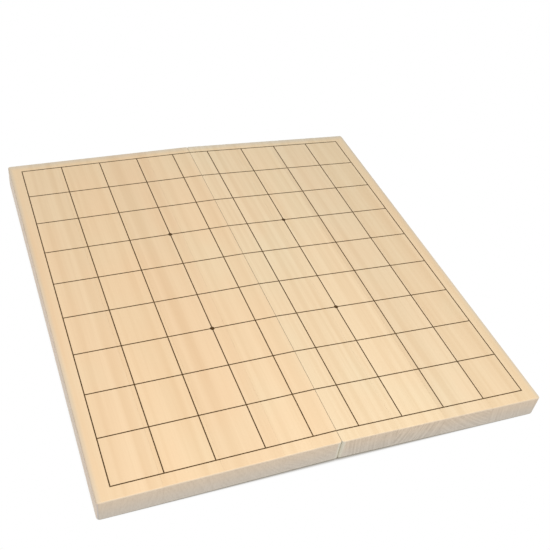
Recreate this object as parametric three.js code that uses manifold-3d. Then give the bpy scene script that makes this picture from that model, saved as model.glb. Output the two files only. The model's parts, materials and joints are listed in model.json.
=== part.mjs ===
// Folding wooden shogi board at its real size, lying open on a table.
// Millimetres, +Z up, +Y along the fold. The origin is on the table, under the middle of the fold.
// Two edge-glued half boards are joined underneath by two brass butt hinges. The hinge barrels hold
// the fold a little above the table, so each half slopes down to its outer edge.

import * as THREE from "three";
import { mergeVertices } from "three/addons/utils/BufferGeometryUtils.js";
import Module from "manifold-3d";

// Playing grid
const squaresAcross = 9;
const squaresDeep = 9;
const squareWidth = 34.8;
const squareDepth = 38.3;
const lineWidth = 0.78;
const inkThickness = 0.1;
const inkLift = 0.03;
const inkSetback = 0.1; // between the line ends and the wood's edge at the fold
const starRadius = 1.7;
const starSegments = 20;
const starSquares = 1.5; // a star point's distance from the middle of the board, in squares, both ways

// Half boards
const sideMargin = 10.9;
const endMargin = 10.15;
const boardThickness = 18;
const halfWidth = (squaresAcross / 2) * squareWidth + sideMargin;
const halfDepth = (squaresDeep / 2) * squareDepth + endMargin;
const seamGap = 0.2;
const glueGap = 0.04;
const outerCornerRadius = 2.2;
const seamCornerRadius = 1.8;
const topEdgeRadius = 1;
const bottomEdgeRadius = 0.6;
const seamEdgeRadius = 0.2;
const topEdgeSteps = 5;
const bottomEdgeSteps = 3;
const cornerDivisions = 6;
const cutAllowance = 1; // how far a saw cut runs past the wood
const leftStaveEdges = [41.5, 84, 124.5]; // glue lines, from the fold outwards
const rightStaveEdges = [43.8, 82.5, 123.5];

// Butt hinges
const hingeLength = 38;
const hingeDistance = 115; // from the middle of the board to the middle of each hinge
const leafThickness = 0.9;
const leafWidth = 13; // from the pin to the leaf's outer edge
const leafCornerRadius = 1.2;
const barrelRadius = 1.9;
const boreRadius = barrelRadius - leafThickness;
const wrapEnd = 380; // degrees: where the rolled strip ends, just short of the leaf's own face
const knuckleCount = 5;
const knuckleGap = 0.3;
const notchClearance = 0.3;
const pinRadius = 0.85;
const pinHeadRadius = 1.4;
const pinHeadHeight = 0.6;
const pinHeadGap = 0.2;
const seatGap = 0.05; // between the leaf and the wood
const barrelDivisions = 16;

// Countersunk screws
const screwLength = 10;
const screwHeadRadius = 2.2;
const screwShankRadius = 1.05;
const screwTipRadius = 0.2;
const screwTaperLength = 2.5;
const slotWidth = 0.7;
const slotDepth = 0.45;
const firstSlotTurn = 25; // degrees from the fold at which the first screw's slot stopped
const slotTurnStep = 50;
const screwClearance = 0.15;
const screwSegments = 16;
const screwPlaces = [
  [5.6, -13],
  [9.4, 0],
  [5.6, 13],
]; // from the pin and from the hinge's middle

// The pin axis is one barrel radius above the table, and each half is built flat over that axis.
const undersideHeight = barrelRadius + seatGap;
const faceHeight = undersideHeight + boardThickness;
const restTilt = tiltOnTable();
const foldLine = -faceHeight * Math.tan(restTilt); // where the seam meets the face, in a half's own frame
const outerEdge = foldLine + halfWidth;

const wood = { color: "#f0d6b0", roughness: 0.62, metalness: 0 };
const ink = { color: "#241d17", roughness: 0.45, metalness: 0 };
const brass = { color: "#c2a25e", roughness: 0.35, metalness: 1 };

const wasm = await Module();
wasm.setup();

// The slope at which the barrel and the rounded outer edge of a half both touch the table. The slope moves
// the outer edge a little, so it is worked out again until it settles.
function tiltOnTable() {
  const passes = 4;
  let tilt = 0;
  for (let pass = 0; pass < passes; pass += 1) {
    const reach = halfWidth - faceHeight * Math.tan(tilt) - bottomEdgeRadius;
    tilt = Math.asin(barrelRadius / Math.hypot(reach, undersideHeight)) + Math.atan2(undersideHeight, reach);
  }
  return tilt;
}

function solid(geometry) {
  const bare = geometry.clone();
  bare.deleteAttribute("normal");
  bare.deleteAttribute("uv");
  const merged = mergeVertices(bare, 1e-4);
  const vertProperties = merged.attributes.position.array;
  const triVerts = new Uint32Array(merged.index.array);
  return new wasm.Manifold(new wasm.Mesh({ numProp: 3, vertProperties, triVerts }));
}

function surface(shape) {
  const { vertProperties, triVerts } = shape.getMesh();
  const geometry = new THREE.BufferGeometry();
  geometry.setAttribute("position", new THREE.BufferAttribute(vertProperties, 3));
  geometry.setIndex(new THREE.BufferAttribute(triVerts, 1));
  const faceted = geometry.toNonIndexed();
  faceted.computeVertexNormals();
  return faceted;
}

function part(name, geometry, finish) {
  const mesh = new THREE.Mesh(geometry, new THREE.MeshStandardMaterial(finish));
  mesh.name = name;
  return mesh;
}

// A box with its corners exactly at the given values, so that neighbours made from the same value meet
function block(...ranges) {
  const box = new THREE.BoxGeometry(1, 1, 1);
  const corners = box.attributes.position;
  for (let corner = 0; corner < corners.count; corner += 1) {
    const place = ranges.map((range, axis) => range[corners.getComponent(corner, axis) > 0 ? 1 : 0]);
    corners.setXYZ(corner, ...place);
  }
  return solid(box);
}

// Distances from the face at which a rounded edge has its rings, from its start to the face
function roundingRings(radius, steps) {
  const turn = (index) => (index / steps) * (Math.PI / 2);
  return Array.from({ length: steps + 1 }, (_, index) => radius * (1 - Math.sin(turn(index))));
}

// How far a rounded edge draws in at a distance from the face that it meets
function easing(distance, radius) {
  if (distance >= radius) return 0;
  return radius - Math.sqrt(radius ** 2 - (radius - distance) ** 2);
}

// A half board's outline seen from above: smaller corners at the fold and larger ones outside
function planOutline(seamX, outerX, endY, inset) {
  const seamRadius = seamCornerRadius - inset;
  const outerRadius = outerCornerRadius - inset;
  const quarter = Math.PI / 2;
  const outline = new THREE.Path();
  outline.absarc(outerX - outerRadius, endY - outerRadius, outerRadius, 0, quarter);
  outline.absarc(seamX + seamRadius, endY - seamRadius, seamRadius, quarter, 2 * quarter);
  outline.absarc(seamX + seamRadius, seamRadius - endY, seamRadius, 2 * quarter, 3 * quarter);
  outline.absarc(outerX - outerRadius, outerRadius - endY, outerRadius, 3 * quarter, 4 * quarter);
  return outline.getPoints(cornerDivisions);
}

// A closed body through outlines with equally many points, lowest first, each counter-clockwise seen
// from above
function loft(rings) {
  const positions = rings.flatMap(({ outline, height }) => outline.flatMap(({ x, y }) => [x, y, height]));
  const cap = THREE.ShapeUtils.triangulateShape(rings[0].outline, []);
  const points = rings[0].outline.length;
  const last = (rings.length - 1) * points;
  const faces = cap.flatMap(([a, b, c]) => [c, b, a, last + a, last + b, last + c]);
  for (let ring = 0; ring < last; ring += points) {
    for (let i = 0; i < points; i += 1) {
      const a = ring + i;
      const b = ring + ((i + 1) % points);
      faces.push(a, b, b + points, a, b + points, a + points);
    }
  }
  const geometry = new THREE.BufferGeometry();
  geometry.setAttribute("position", new THREE.Float32BufferAttribute(positions, 3));
  geometry.setIndex(faces);
  return geometry;
}

// One half board, flat over the pin axis, running from the fold towards +X.
// Its meeting face leans by the rest tilt, so both meeting faces stand upright and close the seam in use.
function halfBoard() {
  const bottomRings = roundingRings(bottomEdgeRadius, bottomEdgeSteps).reverse();
  const topRings = roundingRings(topEdgeRadius, topEdgeSteps);
  const ringAt = (height, fromFace, faceRadius) => {
    const inset = easing(fromFace, faceRadius);
    const upright = (seamGap / 2 - height * Math.sin(restTilt)) / Math.cos(restTilt);
    const seamX = upright + easing(fromFace, seamEdgeRadius);
    return { height, outline: planOutline(seamX, outerEdge - inset, halfDepth - inset, inset) };
  };
  return solid(
    loft([
      ...bottomRings.map((rise) => ringAt(undersideHeight + rise, rise, bottomEdgeRadius)),
      ...topRings.map((drop) => ringAt(faceHeight - drop, drop, topEdgeRadius)),
    ]),
  );
}

// A profile of radius and height turned about +Z
function turned(profile, segments) {
  const points = profile.map(([radius, height]) => new THREE.Vector2(radius, height));
  return new THREE.LatheGeometry(points, segments).rotateX(Math.PI / 2);
}

// The screw stands head down: the head's flat is at height 0 and the tip is at the top.
function screwProfile(clearance) {
  const rim = screwHeadRadius + clearance;
  const shank = screwShankRadius + clearance;
  const tip = screwTipRadius + clearance;
  return [
    [0, 0],
    [rim, 0],
    [shank, rim - shank],
    [shank, screwLength - screwTaperLength],
    [tip, screwLength + clearance],
    [0, screwLength + clearance],
  ];
}

function screw() {
  const body = solid(turned(screwProfile(0), screwSegments));
  const slotReach = screwHeadRadius + cutAllowance;
  const slot = block([-slotReach, slotReach], [-slotWidth / 2, slotWidth / 2], [-slotDepth, slotDepth]);
  return body.subtract(slot);
}

function screwHole() {
  return solid(turned(screwProfile(screwClearance), screwSegments));
}

// A strip rolled into a barrel round the pin axis, seen along the fold
function rolledStrip() {
  const start = Math.PI / 2;
  const end = THREE.MathUtils.degToRad(wrapEnd);
  const section = new THREE.Shape();
  section.moveTo(leafWidth, barrelRadius);
  section.absarc(0, 0, barrelRadius, start, end, false);
  section.absarc(0, 0, boreRadius, end, start, true);
  section.lineTo(leafWidth, boreRadius);
  section.closePath();
  const settings = { depth: hingeLength, bevelEnabled: false, curveSegments: barrelDivisions };
  const strip = new THREE.ExtrudeGeometry(section, settings);
  return solid(strip.rotateX(Math.PI / 2).translate(0, hingeLength / 2, 0));
}

// The leaf's outline seen from below, with its two outer corners rounded
function leafPlan() {
  const end = hingeLength / 2 + knuckleGap;
  const corner = hingeLength / 2 - leafCornerRadius;
  const inner = -2 * barrelRadius;
  const plan = new THREE.Shape();
  plan.moveTo(inner, -end);
  plan.lineTo(inner + barrelRadius, -end);
  plan.absarc(leafWidth - leafCornerRadius, -corner, leafCornerRadius, -Math.PI / 2, 0, false);
  plan.absarc(leafWidth - leafCornerRadius, corner, leafCornerRadius, 0, Math.PI / 2, false);
  plan.lineTo(inner + barrelRadius, end);
  plan.lineTo(inner, end);
  plan.closePath();
  const settings = { depth: 4 * barrelRadius, bevelEnabled: false, curveSegments: 3 };
  return solid(new THREE.ExtrudeGeometry(plan, settings).translate(0, 0, -2 * barrelRadius));
}

// A hinge leaf with the knuckles of the other leaf cut out of its barrel
function hingeLeaf(otherKnuckles) {
  const pitch = hingeLength / knuckleCount;
  let leaf = rolledStrip().intersect(leafPlan());
  for (const knuckle of otherKnuckles) {
    const low = -hingeLength / 2 + knuckle * pitch - knuckleGap / 2;
    const high = low + pitch + knuckleGap;
    const reach = barrelRadius + notchClearance;
    const notch = block([-2 * barrelRadius, reach], [low, high], [-2 * barrelRadius, 2 * barrelRadius]);
    leaf = leaf.subtract(notch);
  }
  for (const [x, y] of screwPlaces) {
    leaf = leaf.subtract(screwHole().translate(x, y, boreRadius));
  }
  return leaf;
}

// A pin along the fold with a low riveted head at each end, outside the barrel
function hingePin() {
  const inner = hingeLength / 2 + pinHeadGap;
  const end = [
    [pinRadius, inner],
    [pinHeadRadius, inner],
    [pinHeadRadius, inner + pinHeadHeight / 3],
    [pinRadius, inner + pinHeadHeight],
    [0, inner + pinHeadHeight],
  ];
  const start = end.map(([radius, along]) => [radius, -along]).reverse();
  const points = [...start, ...end].map(([radius, along]) => new THREE.Vector2(radius, along));
  return solid(new THREE.LatheGeometry(points, 2 * barrelDivisions));
}

// A straight line of ink seen from above
function stroke([west, east], [south, north]) {
  const corners = [
    [west, south],
    [east, south],
    [east, north],
    [west, north],
  ];
  return new wasm.CrossSection([corners]);
}

// The lines of one half as a single film of ink: four and a half squares from the fold to the border
function gridLines() {
  const half = lineWidth / 2;
  const border = outerEdge - sideMargin;
  const reach = (squaresDeep / 2) * squareDepth;
  const lineEnd = foldLine + seamGap / 2 + inkSetback;
  const strokes = [];
  for (let row = 0; row <= squaresDeep; row += 1) {
    const y = row * squareDepth - reach;
    strokes.push(stroke([lineEnd, border + half], [y - half, y + half]));
  }
  for (let column = 0; column < squaresAcross / 2; column += 1) {
    const x = border - column * squareWidth;
    strokes.push(stroke([x - half, x + half], [-reach, reach]));
  }
  for (const side of [-1, 1]) {
    const x = foldLine + starSquares * squareWidth;
    const y = side * starSquares * squareDepth;
    strokes.push(wasm.CrossSection.circle(starRadius, starSegments).translate([x, y]));
  }
  const drawing = wasm.CrossSection.union(strokes);
  return drawing.extrude(inkThickness).translate(0, 0, faceHeight + inkLift);
}

// Cut the half board into its staves and drill the screw holes from below
function staves(side, edges) {
  const cuts = [foldLine - cutAllowance, ...edges, outerEdge + cutAllowance];
  const board = halfBoard();
  const tall = [undersideHeight - cutAllowance, faceHeight + cutAllowance];
  const long = [-halfDepth - cutAllowance, halfDepth + cutAllowance];
  return cuts.slice(1).map((cut, index) => {
    let stave = board.intersect(block([cuts[index] + glueGap / 2, cut - glueGap / 2], long, tall));
    if (index === 0) {
      for (const middle of [-hingeDistance, hingeDistance]) {
        for (const [x, y] of screwPlaces) {
          stave = stave.subtract(screwHole().translate(x, middle + y, boreRadius));
        }
      }
    }
    return part(`${side}_stave_${index + 1}`, surface(stave), wood);
  });
}

function hingeHalf(hinge, side, middle, otherKnuckles) {
  const leaf = hingeLeaf(otherKnuckles).translate(0, middle, 0);
  const screws = screwPlaces.map(([x, y], index) => {
    const turn = firstSlotTurn + slotTurnStep * index;
    const place = screw().rotate([0, 0, turn]).translate(x, middle + y, boreRadius);
    return part(`${hinge}_${side}_screw_${index + 1}`, surface(place), brass);
  });
  return [part(`${hinge}_${side}_leaf`, surface(leaf), brass), ...screws];
}

// The left half has the outer knuckles and the pins, and the right half the knuckles between them.
function half(side, staveEdges, otherKnuckles) {
  const group = new THREE.Group();
  group.add(...staves(side, staveEdges));
  group.add(part(`${side}_grid_lines`, surface(gridLines()), ink));
  group.add(...hingeHalf("front_hinge", side, -hingeDistance, otherKnuckles));
  group.add(...hingeHalf("back_hinge", side, hingeDistance, otherKnuckles));
  group.position.z = barrelRadius;
  return group;
}

const rightHalf = half("right", rightStaveEdges, [0, 2, 4]);
rightHalf.rotation.y = restTilt;

const leftHalf = half("left", leftStaveEdges, [1, 3]);
leftHalf.add(part("front_hinge_pin", surface(hingePin().translate(0, -hingeDistance, 0)), brass));
leftHalf.add(part("back_hinge_pin", surface(hingePin().translate(0, hingeDistance, 0)), brass));
leftHalf.scale.x = -1;
leftHalf.rotation.y = -restTilt;

const group = new THREE.Group();
group.add(leftHalf, rightHalf);

export default group;
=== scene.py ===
"""Looks of a folding wooden shogi board that lies open on a table, seen from above its front left corner."""

import json
import math

import bmesh
import bpy
from mathutils import Matrix, Vector


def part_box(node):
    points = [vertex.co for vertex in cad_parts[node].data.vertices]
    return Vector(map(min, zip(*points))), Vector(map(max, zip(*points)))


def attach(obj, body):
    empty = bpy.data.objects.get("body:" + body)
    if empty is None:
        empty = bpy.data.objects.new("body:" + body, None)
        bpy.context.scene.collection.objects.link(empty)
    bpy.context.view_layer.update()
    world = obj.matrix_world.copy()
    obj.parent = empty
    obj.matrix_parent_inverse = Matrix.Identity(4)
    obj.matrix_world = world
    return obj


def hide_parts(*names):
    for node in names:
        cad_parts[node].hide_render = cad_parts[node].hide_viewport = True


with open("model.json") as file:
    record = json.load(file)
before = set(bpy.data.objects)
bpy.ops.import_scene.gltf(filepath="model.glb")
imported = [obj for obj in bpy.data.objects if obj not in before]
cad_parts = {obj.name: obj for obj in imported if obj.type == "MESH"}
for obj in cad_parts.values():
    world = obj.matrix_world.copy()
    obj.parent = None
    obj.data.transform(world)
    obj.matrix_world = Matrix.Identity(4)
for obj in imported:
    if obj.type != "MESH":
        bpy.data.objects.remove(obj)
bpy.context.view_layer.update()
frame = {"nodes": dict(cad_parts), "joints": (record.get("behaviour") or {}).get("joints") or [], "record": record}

MM = 0.001

# Places read from the frame
fold_joint = next(joint for joint in frame["joints"] if joint["name"] == "fold")
underside = next(mount for mount in frame["record"]["mounts"] if mount["name"] == "right_underside")
PIN_HEIGHT = fold_joint["pos_m"][2]
TILT = math.asin(-underside["axis"][0])  # of each half as it lies on the table


def outward(name):
    """The way out from the fold along x for a name that starts with right, 1, or with left, -1."""
    return 1 if name.startswith("right") else -1


def in_its_half(node, point):
    """A point of a node in its half's millimetres: outwards, along the fold and up, from the hinge pin."""
    turned = Matrix.Rotation(-outward(node) * TILT, 3, "Y") @ (point - Vector((0, 0, PIN_HEIGHT)))
    return Vector((outward(node) * turned.x, turned.y, turned.z)) / MM


# Where a half board ends, in its own millimetres, read from its outermost stave
OUTER_STAVE = "right_stave_4"
outer_points = [in_its_half(OUTER_STAVE, vertex.co) for vertex in frame["nodes"][OUTER_STAVE].data.vertices]
OUTER_SIDE = max(point.x for point in outer_points)
BACK_END = max(point.y for point in outer_points)
FOOT_HEIGHT = min(point.z for point in outer_points)
FACE_HEIGHT = max(point.z for point in outer_points)

# Camera, measured from the board's middle on the table
CAMERA_PLACE = Vector((-230.8, -475.7, 474.2)) * MM
CAMERA_TURN = (48.822, -7.862, -21.271)  # degrees about x, y and z
CAMERA_LENS = 55.32
CAMERA_CLIP = 10 * MM

# Light
SKY_LIGHT = 0.489
FLOOR_LIGHT = 0.79
HORIZON = (-0.3, 0.6)  # the rise of a direction where the floor's light starts to fade and where it ends
SOFTBOX_PLACE = (0.05, -0.75, 0.95)
SOFTBOX_AIM = (0, -0.05, 0)
SOFTBOX_SIZE = 0.9
SOFTBOX_POWER = 10.3

# Table
TABLE_SIZE = 8.0
SHADE_REACH = 40 * MM
DEEP_SHADE = 0.25  # the share of open sky at which the table is darkest
OPEN_ENOUGH = 0.50  # the share of open sky at which the overexposed table is white
SHADE_COLOUR = (0.24, 0.21, 0.16)
SHADE_SAMPLES = 64

# Finishing the solids
MERGE_DISTANCE = 0.002 * MM
FLAT_ANGLE = math.radians(0.5)
CHAMFER_ANGLE = math.radians(50)
SMOOTH_ANGLE = math.radians(35)
HINGE_CHAMFER = 0.1 * MM

# Colours of the wood's face, of its darker rings and streaks, and of its end grain
FACE_COLOUR = (0.885, 0.658, 0.402)
LATE_COLOUR = (0.76, 0.525, 0.29)
YELLOW_TINT, PINK_TINT = (0.985, 1.0, 1.0), (1.0, 0.975, 0.955)
# The end grain is greyer and darker towards its foot; the darkening is painted shade of the table close below
END_FOOT_COLOUR = (0.535, 0.478, 0.405)
END_TOP_COLOUR = (0.612, 0.497, 0.375)
END_SHADE = (0.72, 0.70, 0.68)

# Tints and colours of the outside and of the fold, painted light and shade among them
# Cooler and lighter on the outer sides: painted light
FLANK_LIGHT_TINT = (0.98, 1.08, 1.36)
# Greyer on the face's rims: painted shade of a rounder edge
RIM_SHADE_TINT = (0.84, 0.94, 1.12)
# A darker, cooler tint of the meeting faces
MEETING_TINT = (0.84, 0.90, 1.0)
# Arrises greyed where hands have rubbed them
HANDLED_COLOUR = (0.60, 0.49, 0.36)
# Lighter grey-green of the rounded corners at the fold: a painted highlight
SEAM_HIGHLIGHT_COLOUR = (0.61, 0.57, 0.465)

# Colours of the ink and of the brass
INK_COLOUR = (0.060, 0.028, 0.004)
WORN_INK_COLOUR = (0.14, 0.075, 0.02)
BRASS_COLOUR = (0.72, 0.52, 0.24)
TARNISH_COLOUR = (0.34, 0.22, 0.095)
LEAF_TARNISH, SCREW_TARNISH = 0.35, 0.75  # how dark the clouds of tarnish are
HOLLOW_TARNISH = 0.85
HOLLOW_REACH = 1.2 * MM
HOLLOW_SAMPLES = 16

# How often each pattern repeats in a millimetre: outwards from the fold, along it and upwards
WANDER = (0.012, 0.006, 0.012)
TONE = (0.10, 0.0035, 0.10)
STREAK = (0.42, 0.005, 0.42)
FIBRE = (2.6, 0.035, 2.6)
PATCH = (0.02, 0.012, 0.02)
PORES = (3.2, 3.2, 3.2)
MOTTLE = (1.1, 1.1, 0.35)
BLOTCH = (0.14, 0.14, 0.14)
FOLD_STREAKS = (0.3, 0.015, 0.3)
RUBBED = (0.12, 0.12, 0.12)
THIN_INK = (0.5, 0.5, 0.5)
ROLLED = (3.0, 0.15, 3.0)
TARNISH = (0.07, 0.07, 0.07)
SLOW_RINGS = 0.45  # outwards from the middle of the tree

# Year rings
WANDER_REACH = 5.0  # millimetres
WIDTH_WAVES = 0.31  # radians in a millimetre
WIDTH_CHANGE = 0.55  # years
LATE_POWER = 3.0  # the higher, the later in the year the wood darkens
YEAR_END = (1.0, 0.9)  # where the dark wood stops and where it starts to fade
FAINTEST_YEAR = 0.35

# How much each pattern darkens the face
RINGS_ON_FACE = 0.28
TONE_ON_FACE = 0.25
MORE_TONE = 0.17  # where the figure is clear
STREAKS_ON_FACE = 0.30
FIBRES_ON_FACE = 0.18
BAND_CORE = 0.2  # the part of a band's half width that is darkest

# How much each pattern darkens the end grain, and how much of the painted highlight it takes beside the fold
RINGS_ON_END = 0.08
RINGS_IN_BLOTCH = 0.3  # the part of the slow rings that a blotch leaves
MOTTLE_ON_END = 0.28
PORES_ON_END = 0.3
SEAM_HIGHLIGHT_NEAR_FOLD = 0.8

# How much the arrises are rubbed, and how strongly grey-green streaks mark the meeting faces
RUBBED_LEAST, RUBBED_MOST = 0.25, 0.75
FOLD_STREAKS_MOST = 0.5

# From where to where a finish sets in as a surface turns: the part of its direction that points that way
FACING_END = (0.45, 0.85)
FACING_CORNER = (0.1, 0.4)
FACING_FOLD = (0.3, 0.7)
FACING_SIDE = (-0.35, -0.75)  # the part towards the fold, so below zero
FACING_UP = (0.8, 0.95)
ARRIS_BEGINS, ARRIS_ENDS = (0.1, 0.5), (0.99, 0.9)  # upwards, from the board's side to its face

# From where to where a finish sets in, in millimetres outwards from the pin
NEAR_FOLD = (3.2, 1.2)
MEETING_FACE = (4.0, 2.5)

# How far the painted shade of the rims reaches in from the outer edges, in millimetres
SIDE_RIM = 4.5
BACK_RIM = 8.0
BACK_RIM_CORE = 1.0

# Gloss
WOOD_ROUGHNESS = (0.46, 0.56)
END_ROUGHER = 0.16
WOOD_SPECULAR = 0.4
INK_ROUGHNESS = (0.4, 0.6)
INK_SPECULAR = 0.15
BRASS_ROUGHNESS = (0.28, 0.42)

# Relief of the wood, as parts of its whole depth
FIBRE_HEIGHT = 0.6
RING_HEIGHT = 0.25
RING_CUT = 0.22  # how much lower the rings are on the end grain
PORE_HEIGHT = 0.8

# The staves of each half from the fold outwards. Lean is how far the year rings tip outwards at the top, in
# degrees from upright. Pith is the distance to the middle of the tree, outwards or, below zero, inwards, and
# ring the width of a year, both in millimetres. Clear says how clearly the rings show in the end grain, and
# figure how clearly fine streaks show on the face. Bands are broad dark streaks along the board: distance
# from the fold, half their width and their strength.
STAVES = {
    "left": [
        dict(lean=55, pith=90, ring=1.3, clear=0.26, figure=0.6, tint=(0.985, 1.005, 1.05),
             bands=[(8, 7, 0.20), (35, 3, 0.10)]),
        dict(lean=35, pith=-120, ring=1.6, clear=0.22, figure=0.55, tint=(0.975, 0.975, 1.01),
             bands=[(46, 3, 0.12), (73, 7, 0.36)]),
        dict(lean=20, pith=150, ring=1.4, clear=0.18, figure=0.55, tint=(0.985, 0.985, 1.01),
             bands=[(96, 4, 0.30), (117, 2, 0.10)]),
        dict(lean=-12, pith=-130, ring=1.7, clear=0.14, figure=0.6, tint=(0.99, 1.0, 1.045),
             bands=[(132, 5, 0.35), (148, 3, 0.25)]),
    ],
    "right": [
        dict(lean=-8, pith=140, ring=1.5, clear=0.55, figure=1.0, tint=(0.98, 1.04, 1.12),
             bands=[(11, 2.5, 0.25), (27, 4, 0.50), (41, 3, 0.30)]),
        dict(lean=18, pith=-110, ring=1.3, clear=0.6, figure=1.0, tint=(0.98, 1.035, 1.11),
             bands=[(67, 4, 0.25), (76, 3, 0.30)]),
        dict(lean=-52, pith=95, ring=1.5, clear=0.45, figure=0.85, tint=(0.935, 0.985, 1.06),
             bands=[(85, 2.5, 0.25), (98, 4, 0.35)]),
        dict(lean=-10, pith=140, ring=1.8, clear=0.35, figure=0.85, tint=(0.925, 0.965, 1.02),
             bands=[(128, 3, 0.15), (150, 4, 0.25)]),
    ],
}


class Recipe:
    """The nodes of a material or of the world, and short ways to add to them."""

    def __init__(self, owner):
        owner.use_nodes = True
        self.tree = owner.node_tree

    def feed(self, socket, value):
        if isinstance(value, bpy.types.NodeSocket):
            self.tree.links.new(value, socket)
        else:
            socket.default_value = value

    def node(self, kind, inputs, **settings):
        made = self.tree.nodes.new("ShaderNode" + kind)
        for name, value in settings.items():
            setattr(made, name, value)
        for name, value in inputs.items():
            self.feed(made.inputs[name], value)
        return made

    def parts(self, vector):
        return self.node("SeparateXYZ", {0: vector}).outputs

    def math(self, operation, *values):
        return self.node("Math", dict(enumerate(values)), operation=operation).outputs[0]

    def times(self, first, second):
        return self.math("MULTIPLY", first, second)

    def vector(self, operation, *values):
        return self.node("VectorMath", dict(enumerate(values)), operation=operation).outputs[0]

    def between(self, value, low, high, to_low=0.0, to_high=1.0, curve="SMOOTHSTEP"):
        """A smooth or other step from to_low to to_high as the value goes from low to high."""
        inputs = {"Value": value, "From Min": low, "From Max": high, "To Min": to_low, "To Max": to_high}
        return self.node("MapRange", inputs, interpolation_type=curve).outputs[0]

    def blend(self, share, first, second, blend_type="MIX"):
        mixer = self.node("Mix", {"Factor": share}, data_type="RGBA", blend_type=blend_type)
        for socket, colour in ((mixer.inputs[6], first), (mixer.inputs[7], second)):
            self.feed(socket, colour if isinstance(colour, bpy.types.NodeSocket) else (*colour, 1.0))
        return mixer.outputs[2]

    def tinted(self, colour, tint):
        return self.blend(1.0, colour, tint, "MULTIPLY")


class Finish(Recipe):
    """One material of the board."""

    def __init__(self, name):
        self.material = bpy.data.materials.new(name)
        super().__init__(self.material)
        self.shader = self.tree.nodes["Principled BSDF"]

    def set(self, socket, value):
        self.feed(self.shader.inputs[socket], value)

    def place(self, name):
        """The spot on the half board that the name starts with, measured as in_its_half does."""
        spot = self.node("TexCoord", {}).outputs["Object"]
        mapping = self.node("Mapping", {"Vector": spot}, vector_type="TEXTURE")
        mapping.inputs["Location"].default_value = (0, 0, PIN_HEIGHT)
        mapping.inputs["Rotation"].default_value = (0, outward(name) * TILT, 0)
        mapping.inputs["Scale"].default_value = (outward(name) * MM, MM, MM)
        return mapping.outputs[0]

    def noise(self, place, per_mm, detail=2.0, roughness=0.5):
        """Clouds from 0 to 1, mostly near a half."""
        stretched = self.vector("MULTIPLY", place, per_mm)
        inputs = {"Vector": stretched, "Scale": 1.0, "Detail": detail, "Roughness": roughness}
        return self.node("TexNoise", inputs).outputs["Fac"]

    def relief(self, height, strength, depth):
        """Bumps so many millimetres deep."""
        bump = self.node("Bump", {"Height": height, "Strength": strength, "Distance": depth * MM})
        self.set("Normal", bump.outputs[0])


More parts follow.
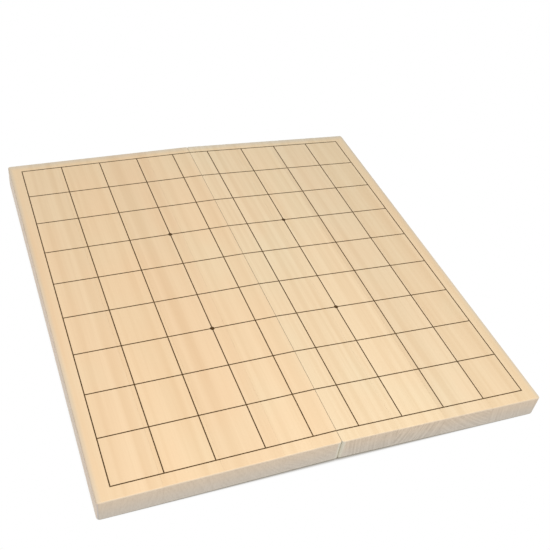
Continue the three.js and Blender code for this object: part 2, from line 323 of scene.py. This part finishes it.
class Wood(Finish):
    """Pale softwood from a log whose middle runs along the board, so that every face shows its own grain."""

    def __init__(self, stave, spec):
        super().__init__(stave + "_wood")
        self.spec = spec
        self.spot = self.place(stave)
        self.outwards, self.along, self.up = self.parts(self.spot)
        facing = self.parts(self.node("TexCoord", {}).outputs["Normal"])
        self.foldwards = self.times(facing["X"], -outward(stave))
        self.endwards = self.math("ABSOLUTE", facing["Y"])
        self.upwards = facing["Z"]
        self.end = self.between(self.endwards, *FACING_END)
        self.fibre = self.noise(self.spot, FIBRE, detail=3.0, roughness=0.65)
        self.pores = self.noise(self.spot, PORES, roughness=0.6)
        self.add_rings(middle_of(stave))
        face = self.face_colour()
        colour = self.blend(self.end, face, self.end_colour())
        colour = self.lit_shaded_and_rubbed_outside(colour)
        self.set("Base Color", self.highlighted_at_fold(colour, face))
        self.add_surface()

    def add_rings(self, middle):
        """Year rings that wander on their way along the board and are uneven in width and darkness."""
        lean = math.radians(self.spec["lean"])
        away = self.spec["pith"]
        pith = Vector((middle.x + away * math.cos(lean), 0, middle.z - away * math.sin(lean)))
        wander = self.noise(self.spot, WANDER, detail=1.0)
        self.wander = self.times(self.math("SUBTRACT", wander, 0.5), WANDER_REACH)
        across = self.vector("MULTIPLY", self.vector("SUBTRACT", self.spot, pith), (1.0, 0.0, 1.0))
        radius = self.node("VectorMath", {0: across}, operation="LENGTH").outputs["Value"]
        self.radius = self.math("ADD", radius, self.wander)
        uneven = self.times(self.math("SINE", self.times(self.radius, WIDTH_WAVES)), WIDTH_CHANGE)
        years = self.math("ADD", self.math("DIVIDE", self.radius, self.spec["ring"]), uneven)
        season = self.math("FRACT", years)
        late = self.times(self.math("POWER", season, LATE_POWER), self.between(season, *YEAR_END))
        year = self.node("TexWhiteNoise", {"W": self.math("FLOOR", years)}, noise_dimensions="1D")
        self.late = self.times(late, self.between(year.outputs["Value"], 0.0, 1.0, to_low=FAINTEST_YEAR))

    def face_colour(self):
        """Soft changes of tone at three scales and a few broad bands, all drawn out along the board."""
        figure = self.spec["figure"]
        tone = self.noise(self.spot, TONE, detail=3.0, roughness=0.6)
        streak = self.noise(self.spot, STREAK)
        patch = self.noise(self.spot, PATCH)
        colour = self.blend(self.times(self.late, RINGS_ON_FACE * figure), FACE_COLOUR, LATE_COLOUR)
        for pattern, low, high, share in (
                (tone, 0.38, 0.72, TONE_ON_FACE + MORE_TONE * figure),
                (streak, 0.45, 0.75, STREAKS_ON_FACE * figure),
                (self.fibre, 0.45, 0.80, FIBRES_ON_FACE * figure)):
            colour = self.blend(self.between(pattern, low, high, to_high=share), colour, LATE_COLOUR)
        for distance, half_width, strength in self.spec["bands"]:
            beside = self.math("SUBTRACT", self.math("ADD", self.outwards, self.wander), distance)
            away = self.math("ABSOLUTE", beside)
            band = self.between(away, half_width, BAND_CORE * half_width, to_high=strength)
            colour = self.blend(band, colour, LATE_COLOUR)
        colour = self.tinted(colour, self.blend(self.between(patch, 0.35, 0.7), YELLOW_TINT, PINK_TINT))
        return self.tinted(colour, self.spec["tint"])

    def end_colour(self):
        """End grain: greyer and darker towards the foot, the darkening a painted shade of the table close below,
        and lighter grey-green beside the fold as a painted highlight of the rounded corners, with soft rings,
        mottling and pores.
        """
        clear = self.spec["clear"]
        height = self.between(self.up, FOOT_HEIGHT, FACE_HEIGHT)
        # Darker towards the foot: painted shade of the table close below
        colour = self.blend(height, END_FOOT_COLOUR, END_TOP_COLOUR)
        dark = self.tinted(colour, END_SHADE)
        mottle = self.noise(self.spot, MOTTLE, roughness=0.6)
        inputs = {"W": self.radius, "Scale": SLOW_RINGS, "Detail": 1.0, "Roughness": 0.6}
        slow = self.node("TexNoise", inputs, noise_dimensions="1D").outputs["Fac"]
        blotch = self.noise(self.spot, BLOTCH)
        clearness = self.between(blotch, 0.3, 0.6, to_low=RINGS_IN_BLOTCH * clear, to_high=clear)
        for share in (
                self.between(mottle, 0.4, 0.7, to_high=MOTTLE_ON_END),
                self.times(clearness, self.between(slow, 0.38, 0.62)),
                self.times(self.late, RINGS_ON_END),
                self.between(self.pores, 0.5, 0.75, to_high=PORES_ON_END)):
            colour = self.blend(share, colour, dark)
        # Lighter grey-green beside the fold: a painted highlight of the rounded corners
        near_fold = self.between(self.outwards, *NEAR_FOLD, to_high=SEAM_HIGHLIGHT_NEAR_FOLD)
        return self.blend(near_fold, colour, SEAM_HIGHLIGHT_COLOUR)

    def lit_shaded_and_rubbed_outside(self, colour):
        """The outer sides tinted cooler and lighter as painted light, the face's rims greyed as painted shade, and
        the arrises greyed where hands have rubbed them.
        """
        # Outer sides cooler and lighter: painted light
        flank = self.between(self.foldwards, *FACING_SIDE)
        colour = self.blend(flank, colour, self.tinted(colour, FLANK_LIGHT_TINT))
        # Rims of the face greyer: painted shade
        by_side = self.between(self.outwards, OUTER_SIDE - SIDE_RIM, OUTER_SIDE)
        by_back = self.between(self.along, BACK_END - BACK_RIM, BACK_END - BACK_RIM_CORE)
        rim = self.times(self.math("MAXIMUM", by_side, by_back), self.between(self.upwards, *FACING_UP))
        colour = self.blend(rim, colour, self.tinted(colour, RIM_SHADE_TINT))
        past_side = self.between(self.upwards, *ARRIS_BEGINS)
        short_of_face = self.between(self.upwards, *ARRIS_ENDS)
        rubbed = self.noise(self.spot, RUBBED, detail=3.0, roughness=0.6)
        worn = self.between(rubbed, 0.3, 0.65, to_low=RUBBED_LEAST, to_high=RUBBED_MOST)
        arris = self.times(self.times(past_side, short_of_face), worn)
        return self.blend(arris, colour, HANDLED_COLOUR)

    def highlighted_at_fold(self, colour, face):
        """Meeting faces of the face's own wood, tinted darker and cooler, with grey-green streaks, and their
        rounded corners all grey-green as a painted highlight.
        """
        streak_clouds = self.noise(self.spot, FOLD_STREAKS, detail=3.0, roughness=0.6)
        streaks = self.between(streak_clouds, 0.35, 0.7, to_high=FOLD_STREAKS_MOST)
        greyed = self.blend(streaks, self.tinted(face, MEETING_TINT), SEAM_HIGHLIGHT_COLOUR)
        # The rounded corners grey-green: a painted highlight
        greyed = self.blend(self.between(self.endwards, *FACING_CORNER), greyed, SEAM_HIGHLIGHT_COLOUR)
        by_fold = self.between(self.outwards, *MEETING_FACE)
        meeting = self.times(self.between(self.foldwards, *FACING_FOLD), by_fold)
        return self.blend(meeting, colour, greyed)

    def add_surface(self):
        """Planed wood, duller on the end grain, with the fibres, the rings and the pores just raised."""
        sheen = self.between(self.fibre, 0.3, 0.8, *WOOD_ROUGHNESS)
        self.set("Roughness", self.math("ADD", sheen, self.times(self.end, END_ROUGHER)))
        self.set("Specular IOR Level", WOOD_SPECULAR)
        ring_height = self.math("SUBTRACT", RING_HEIGHT, self.times(self.end, RING_CUT))
        height = self.math("ADD", self.times(self.fibre, FIBRE_HEIGHT), self.times(self.late, ring_height))
        height = self.math("ADD", height, self.times(self.end, self.times(self.pores, PORE_HEIGHT)))
        self.relief(height, strength=0.35, depth=0.12)


def ink():
    """Dark lacquer, thinner and browner here and there."""
    finish = Finish("ink")
    thin = finish.noise(finish.place("right"), THIN_INK, detail=3.0, roughness=0.7)
    colour = finish.blend(finish.between(thin, 0.48, 0.75), INK_COLOUR, WORN_INK_COLOUR)
    finish.set("Base Color", colour)
    finish.set("Roughness", finish.between(thin, 0.2, 0.8, *INK_ROUGHNESS))
    finish.set("Specular IOR Level", INK_SPECULAR)
    finish.relief(thin, strength=0.3, depth=0.1)
    return finish.material


def brass(name, tarnish):
    """Satin brass, rolled along the hinge, with soft clouds of tarnish and more of it in its hollows."""
    finish = Finish(name)
    place = finish.place("right")
    rolled = finish.noise(place, ROLLED, detail=3.0, roughness=0.6)
    clouds = finish.noise(place, TARNISH, detail=3.0)
    open_air = finish.node("AmbientOcclusion", {"Distance": HOLLOW_REACH}, samples=HOLLOW_SAMPLES)
    hollow = finish.between(open_air.outputs["AO"], 0.75, 0.35, to_high=HOLLOW_TARNISH)
    clouded = finish.between(clouds, 0.38, 0.72, to_high=tarnish)
    colour = finish.blend(clouded, BRASS_COLOUR, TARNISH_COLOUR)
    finish.set("Base Color", finish.blend(hollow, colour, TARNISH_COLOUR))
    finish.set("Roughness", finish.between(clouds, 0.3, 0.7, *BRASS_ROUGHNESS))
    finish.set("Metallic", 1.0)
    finish.relief(rolled, strength=0.15, depth=0.03)
    return finish.material


def middle_of(node):
    low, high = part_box(node)
    return in_its_half(node, (low + high) / 2)


def body_of(node):
    bodies = frame["record"]["behaviour"]["bodies"]
    return next(body for body, nodes in bodies.items() if node in nodes)


def put(name, shape, material):
    """A new object of one material that takes over the shape."""
    mesh = bpy.data.meshes.new(name)
    shape.to_mesh(mesh)
    shape.free()
    mesh.materials.append(material)
    made = bpy.data.objects.new(name, mesh)
    bpy.context.scene.collection.objects.link(made)
    return made


def finished(node, material, chamfer=0.0):
    """A copy of a CAD solid, shaded smooth where it is round, whose sharp edges take the chamfer."""
    shape = bmesh.new()
    shape.from_mesh(frame["nodes"][node].data)
    bmesh.ops.remove_doubles(shape, verts=shape.verts, dist=MERGE_DISTANCE)
    if chamfer:
        bmesh.ops.dissolve_limit(shape, angle_limit=FLAT_ANGLE, verts=shape.verts, edges=shape.edges)
        sharp = [edge for edge in shape.edges if edge.is_manifold and edge.calc_face_angle() > CHAMFER_ANGLE]
        bmesh.ops.bevel(
            shape, geom=sharp, offset=chamfer, offset_type="OFFSET", segments=2, profile=0.5,
            affect="EDGES", clamp_overlap=True, material=-1)
    shape.normal_update()
    for face in shape.faces:
        face.smooth = True
    for edge in shape.edges:
        edge.smooth = edge.calc_face_angle() < SMOOTH_ANGLE
    piece = put(node + "_finished", shape, material)
    piece.modifiers.new("even_shading", "WEIGHTED_NORMAL").keep_sharp = True
    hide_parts(node)
    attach(piece, body_of(node))


def table_top():
    """The white table: a film that only the camera sees, clear but for the soft shade of what is close above.

    Seen through it, a half that hangs below the table in a folded pose stays in view.
    """
    paint = bpy.data.materials.new("table_top")
    recipe = Recipe(paint)
    sky = recipe.node("AmbientOcclusion", {"Distance": SHADE_REACH}, samples=SHADE_SAMPLES).outputs["AO"]
    lit = recipe.between(sky, DEEP_SHADE, OPEN_ENOUGH, curve="LINEAR")
    film = recipe.node("BsdfTransparent", {"Color": recipe.blend(lit, SHADE_COLOUR, (1.0, 1.0, 1.0))})
    recipe.feed(recipe.tree.nodes["Material Output"].inputs["Surface"], film.outputs[0])
    shape = bmesh.new()
    bmesh.ops.create_grid(shape, x_segments=1, y_segments=1, size=TABLE_SIZE / 2)
    top = put("table_top", shape, paint)
    for rays in ("diffuse", "glossy", "transmission", "volume_scatter", "shadow"):
        setattr(top, "visible_" + rays, False)


def front_softbox():
    lamp = bpy.data.lights.new("front_softbox", "AREA")
    lamp.shape = "DISK"
    lamp.size = SOFTBOX_SIZE
    lamp.energy = SOFTBOX_POWER
    made = bpy.data.objects.new("front_softbox", lamp)
    made.location = SOFTBOX_PLACE
    made.rotation_euler = (Vector(SOFTBOX_AIM) - Vector(SOFTBOX_PLACE)).to_track_quat("-Z", "Y").to_euler()
    bpy.context.scene.collection.objects.link(made)


def studio():
    """A studio that is white to the camera and in reflections, and gives most light from its pale floor."""
    world = bpy.data.worlds.new("studio")
    recipe = Recipe(world)
    rise = recipe.parts(recipe.node("TexCoord", {}).outputs["Generated"])["Z"]
    light = recipe.between(rise, *HORIZON, to_low=FLOOR_LIGHT, to_high=SKY_LIGHT, curve="LINEAR")
    rays = recipe.node("LightPath", {}).outputs
    mirrored = recipe.math("MAXIMUM", rays["Is Glossy Ray"], rays["Is Transmission Ray"])
    white = recipe.math("MAXIMUM", rays["Is Camera Ray"], mirrored)
    background = recipe.tree.nodes["Background"]
    background.inputs["Color"].default_value = (1, 1, 1, 1)
    recipe.feed(background.inputs["Strength"], recipe.node("Mix", {0: white, 2: light, 3: 1.0}).outputs[0])
    bpy.context.scene.world = world


def camera():
    data = bpy.data.cameras.new("camera")
    data.lens = CAMERA_LENS
    data.clip_start = CAMERA_CLIP
    made = bpy.data.objects.new("camera", data)
    made.location = CAMERA_PLACE
    made.rotation_euler = [math.radians(turn) for turn in CAMERA_TURN]
    bpy.context.scene.collection.objects.link(made)
    bpy.context.scene.camera = made


# The board
for side, specs in STAVES.items():
    for number, spec in enumerate(specs, 1):
        stave = f"{side}_stave_{number}"
        finished(stave, Wood(stave, spec).material)
lacquer = ink()
leaf_brass = brass("leaf_brass", LEAF_TARNISH)
screw_brass = brass("screw_brass", SCREW_TARNISH)
for node, solid in frame["nodes"].items():
    if node.endswith("grid_lines"):
        solid.data.materials.clear()
        solid.data.materials.append(lacquer)
    elif "hinge" in node:
        finished(node, screw_brass if "screw" in node else leaf_brass, HINGE_CHAMFER)

# Its surroundings
table_top()
front_softbox()
studio()
camera()
bpy.context.scene.view_settings.view_transform = "Standard"
